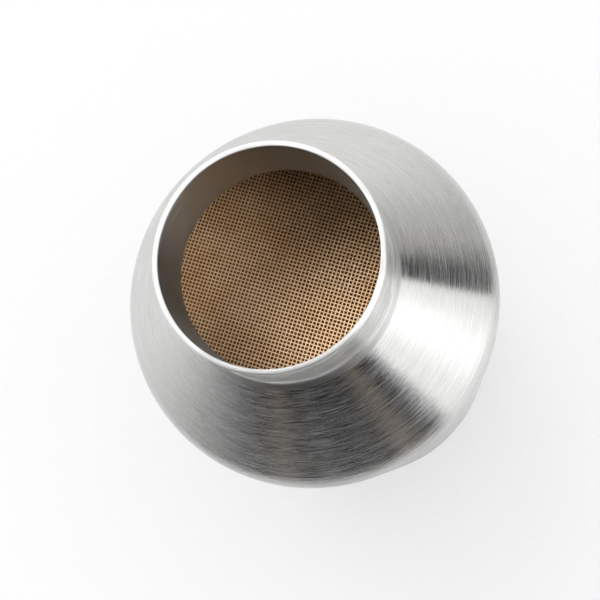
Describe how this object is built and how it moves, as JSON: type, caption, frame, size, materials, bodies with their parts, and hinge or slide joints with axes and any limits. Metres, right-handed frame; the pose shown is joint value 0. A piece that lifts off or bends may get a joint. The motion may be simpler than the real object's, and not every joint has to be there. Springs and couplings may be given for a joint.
{
  "type": "catalytic converter",
  "caption": "Round spun steel catalytic converter with a straight pipe neck at each end and a square-cell ceramic monolith that cleans exhaust gas passing through it.",
  "frame": {"origin": "centre of the outlet neck's mouth, on which the converter stands", "axes": "+Z along the can's axis, from the outlet mouth to the inlet mouth"},
  "size_m": [0.127, 0.127, 0.2751],
  "materials": {
    "stainless_can": "brushed round the axis",
    "coated_ceramic": "matt, washcoated",
    "fibre_mat": "compressed fibre felt",
    "wire_mesh": "knitted wire, pressed"
  },
  "bodies": {
    "root": {"can": "stainless_can", "monolith": "coated_ceramic", "support_mat": "fibre_mat", "outlet_edge_seal": "wire_mesh", "inlet_edge_seal": "wire_mesh"}
  },
  "joints": []
}
